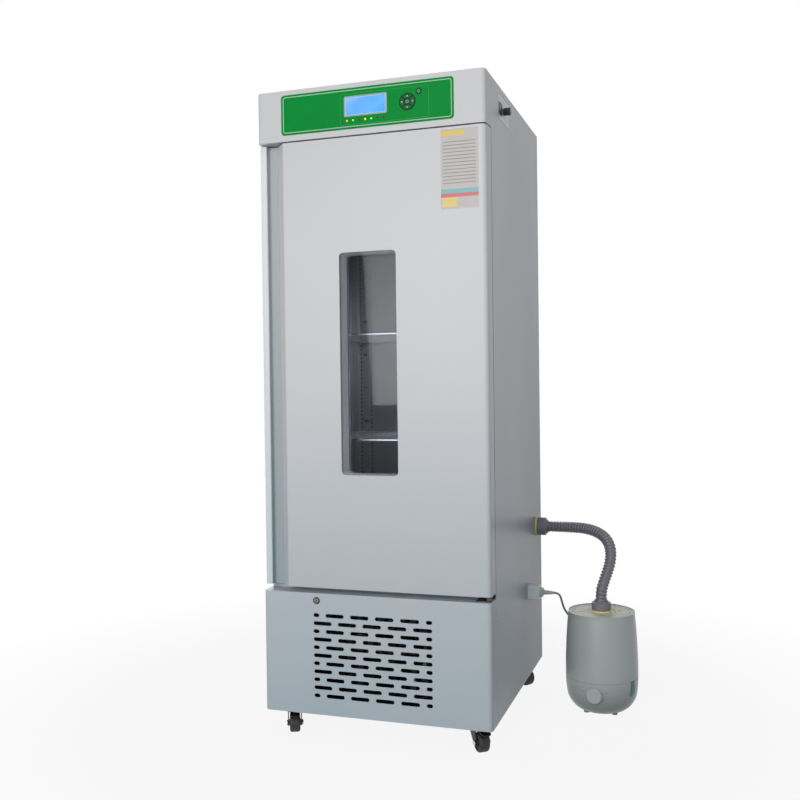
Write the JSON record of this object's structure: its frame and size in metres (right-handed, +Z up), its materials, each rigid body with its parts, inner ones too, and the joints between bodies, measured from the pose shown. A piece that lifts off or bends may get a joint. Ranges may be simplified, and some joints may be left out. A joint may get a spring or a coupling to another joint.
{
  "type": "humidity incubator",
  "caption": "Upright insulated cabinet on casters that keeps its chamber at a set temperature and humidity, with a windowed door and a floor-standing humidifier fed through a hose.",
  "frame": {"origin": "on the floor below the centre of the cabinet", "axes": "+X to the right of somebody facing the door, +Y to the back, +Z up"},
  "size_m": [0.9346, 0.702, 1.708],
  "materials": {
    "body_paint": "satin powder coat",
    "chassis_steel": "plain galvanised sheet",
    "door_paint": "satin powder coat",
    "grip": "painted extrusion",
    "foam": "foam insulation",
    "stainless": "brushed stainless",
    "white_plastic": "matt",
    "gasket": "soft magnetic seal",
    "window_glass": "clear",
    "zinc": "zinc plated",
    "caster_black": "black enamel",
    "machine_black": "gloss black enamel",
    "coil": "fins and tubes",
    "fan": "moulded",
    "panel_film": "printed film",
    "display": "display and circuit board",
    "keys": "moulded keys",
    "black_plastic": "moulded",
    "socket": "moulded",
    "plug_grey": "moulded",
    "hose_plastic": "moulded",
    "hose_flex": "corrugated hose",
    "cord": "flexible cord",
    "seal": "soft ring",
    "humidifier_body": "moulded",
    "humidifier_top": "moulded",
    "caster_tread": "rubber tread",
    "pedal": "moulded"
  },
  "bodies": {
    "cabinet": {"outer_shell": "body_paint", "back_panel": "body_paint", "cabinet_foam": "foam", "inner_liner": "stainless", "breaker_frame": "white_plastic", "base_chassis": "chassis_steel", "base_front_panel": "body_paint", "compressor": "machine_black", "condenser": "coil", "fan_shroud": "chassis_steel", "air_handler": "coil", "duct_panel": "stainless", "shelf_rails": "stainless", "control_overlay": "panel_film", "display_board": "display", "side_controls": "black_plastic", "lock_housing": "zinc", "outlet_box": "socket", "hose_fittings": "hose_plastic", "seal_rings": "seal", "humidifier_base": "humidifier_body", "humidifier_tank": "humidifier_body", "humidifier_lid": "humidifier_top", "hinge_brackets": "zinc", "caster_plates": "caster_black", "hose": "hose_flex", "power_cord": "cord", "cord_coil": "cord", "plug": "plug_grey"},
    "door": {"door_outer_skin": "door_paint", "grip_profile": "grip", "door_inner_skin": "door_paint", "door_foam": "foam", "door_gasket": "gasket", "window_frame": "white_plastic", "window_panes": "window_glass"},
    "key_up": {"key_up": "keys"},
    "key_down": {"key_down": "keys"},
    "key_left": {"key_left": "keys"},
    "key_right": {"key_right": "keys"},
    "key_ok": {"key_ok": "keys"},
    "key_esc": {"key_esc": "keys"},
    "rocker": {"rocker": "black_plastic"},
    "limiter_knob": {"limiter_knob": "black_plastic"},
    "lock_barrel": {"lock_barrel": "zinc"},
    "humidifier_knob": {"humidifier_knob": "humidifier_top"},
    "shelf_upper": {"shelf_upper": "stainless"},
    "shelf_lower": {"shelf_lower": "stainless"},
    "condenser_fan": {"condenser_fan": "fan"},
    "circulation_fan": {"circulation_fan": "fan"},
    "caster_fork_front_left": {"caster_fork_front_left": "caster_black"},
    "caster_wheel_front_left": {"caster_wheel_front_left": "caster_tread"},
    "brake_pedal_front_left": {"brake_pedal_front_left": "pedal"},
    "caster_fork_front_right": {"caster_fork_front_right": "caster_black"},
    "caster_wheel_front_right": {"caster_wheel_front_right": "caster_tread"},
    "brake_pedal_front_right": {"brake_pedal_front_right": "pedal"},
    "caster_fork_rear_left": {"caster_fork_rear_left": "caster_black"},
    "caster_wheel_rear_left": {"caster_wheel_rear_left": "caster_tread"},
    "caster_fork_rear_right": {"caster_fork_rear_right": "caster_black"},
    "caster_wheel_rear_right": {"caster_wheel_rear_right": "caster_tread"}
  },
  "joints": [
    {"name": "door_swing", "type": "hinge", "parent": "cabinet", "child": "door", "pos_m": [0.3, -0.33, 0], "axis": [0, 0, 1], "range_deg": [0, 110]},
    {"name": "key_up_press", "type": "slide", "parent": "cabinet", "child": "key_up", "axis": [0, 1, 0], "range_m": [0, 0.0005], "stiffness_N_per_m": 1000},
    {"name": "key_down_press", "type": "slide", "parent": "cabinet", "child": "key_down", "axis": [0, 1, 0], "range_m": [0, 0.0005], "stiffness_N_per_m": 1000},
    {"name": "key_left_press", "type": "slide", "parent": "cabinet", "child": "key_left", "axis": [0, 1, 0], "range_m": [0, 0.0005], "stiffness_N_per_m": 1000},
    {"name": "key_right_press", "type": "slide", "parent": "cabinet", "child": "key_right", "axis": [0, 1, 0], "range_m": [0, 0.0005], "stiffness_N_per_m": 1000},
    {"name": "key_ok_press", "type": "slide", "parent": "cabinet", "child": "key_ok", "axis": [0, 1, 0], "range_m": [0, 0.0005], "stiffness_N_per_m": 1000},
    {"name": "key_esc_press", "type": "slide", "parent": "cabinet", "child": "key_esc", "axis": [0, 1, 0], "range_m": [0, 0.0005], "stiffness_N_per_m": 1000},
    {"name": "rocker_tilt", "type": "hinge", "parent": "cabinet", "child": "rocker", "pos_m": [0.3095, -0.184, 1.6495], "axis": [0, 1, 0], "range_deg": [0, 16]},
    {"name": "limiter_turn", "type": "hinge", "parent": "cabinet", "child": "limiter_knob", "pos_m": [0.32, -0.144, 1.652], "axis": [1, 0, 0], "range_deg": [0, 270]},
    {"name": "lock_turn", "type": "hinge", "parent": "cabinet", "child": "lock_barrel", "pos_m": [-0.158, -0.35, 0.37], "axis": [0, -1, 0], "range_deg": [0, 90]},
    {"name": "mist_turn", "type": "hinge", "parent": "cabinet", "child": "humidifier_knob", "pos_m": [0.523, 0.114, 0.0676], "axis": [-0.0872, -0.9962, 0], "range_deg": [0, 270]},
    {"name": "shelf_upper_lift", "type": "slide", "parent": "cabinet", "child": "shelf_upper", "axis": [0, 0, 1], "range_m": [0, 0.02]},
    {"name": "shelf_lower_lift", "type": "slide", "parent": "cabinet", "child": "shelf_lower", "axis": [0, 0, 1], "range_m": [0, 0.02]},
    {"name": "condenser_fan_spin", "type": "hinge", "parent": "cabinet", "child": "condenser_fan", "pos_m": [0, -0.216, 0.1925], "axis": [0, 1, 0], "continuous": true},
    {"name": "circulation_fan_spin", "type": "hinge", "parent": "cabinet", "child": "circulation_fan", "pos_m": [0, 0.243, 1.38], "axis": [0, 1, 0], "continuous": true},
    {"name": "swivel_front_left", "type": "hinge", "parent": "cabinet", "child": "caster_fork_front_left", "pos_m": [-0.256, -0.282, 0.061], "axis": [0, 0, 1], "continuous": true},
    {"name": "roll_front_left", "type": "hinge", "parent": "caster_fork_front_left", "child": "caster_wheel_front_left", "pos_m": [-0.2467, -0.30194, 0.025], "axis": [0.9063, 0.4226, 0], "continuous": true},
    {"name": "brake_front_left", "type": "hinge", "parent": "caster_fork_front_left", "child": "brake_pedal_front_left", "pos_m": [-0.24966, -0.29559, 0.0545], "axis": [0.9063, 0.4226, 0], "range_deg": [0, 8]},
    {"name": "swivel_front_right", "type": "hinge", "parent": "cabinet", "child": "caster_fork_front_right", "pos_m": [0.256, -0.282, 0.061], "axis": [0, 0, 1], "continuous": true},
    {"name": "roll_front_right", "type": "hinge", "parent": "caster_fork_front_right", "child": "caster_wheel_front_right", "pos_m": [0.26954, -0.29934, 0.025], "axis": [0.788, 0.6157, 0], "continuous": true},
    {"name": "brake_front_right", "type": "hinge", "parent": "caster_fork_front_right", "child": "brake_pedal_front_right", "pos_m": [0.26523, -0.29382, 0.0545], "axis": [0.788, 0.6157, 0], "range_deg": [0, 8]},
    {"name": "swivel_rear_left", "type": "hinge", "parent": "cabinet", "child": "caster_fork_rear_left", "pos_m": [-0.256, 0.282, 0.061], "axis": [0, 0, 1], "continuous": true},
    {"name": "roll_rear_left", "type": "hinge", "parent": "caster_fork_rear_left", "child": "caster_wheel_rear_left", "pos_m": [-0.24848, 0.26133, 0.025], "axis": [0.9397, 0.342, 0], "continuous": true},
    {"name": "swivel_rear_right", "type": "hinge", "parent": "cabinet", "child": "caster_fork_rear_right", "pos_m": [0.256, 0.282, 0.061], "axis": [0, 0, 1], "continuous": true},
    {"name": "roll_rear_right", "type": "hinge", "parent": "caster_fork_rear_right", "child": "caster_wheel_rear_right", "pos_m": [0.27402, 0.26938, 0.025], "axis": [0.5736, 0.8192, 0], "continuous": true}
  ]
}
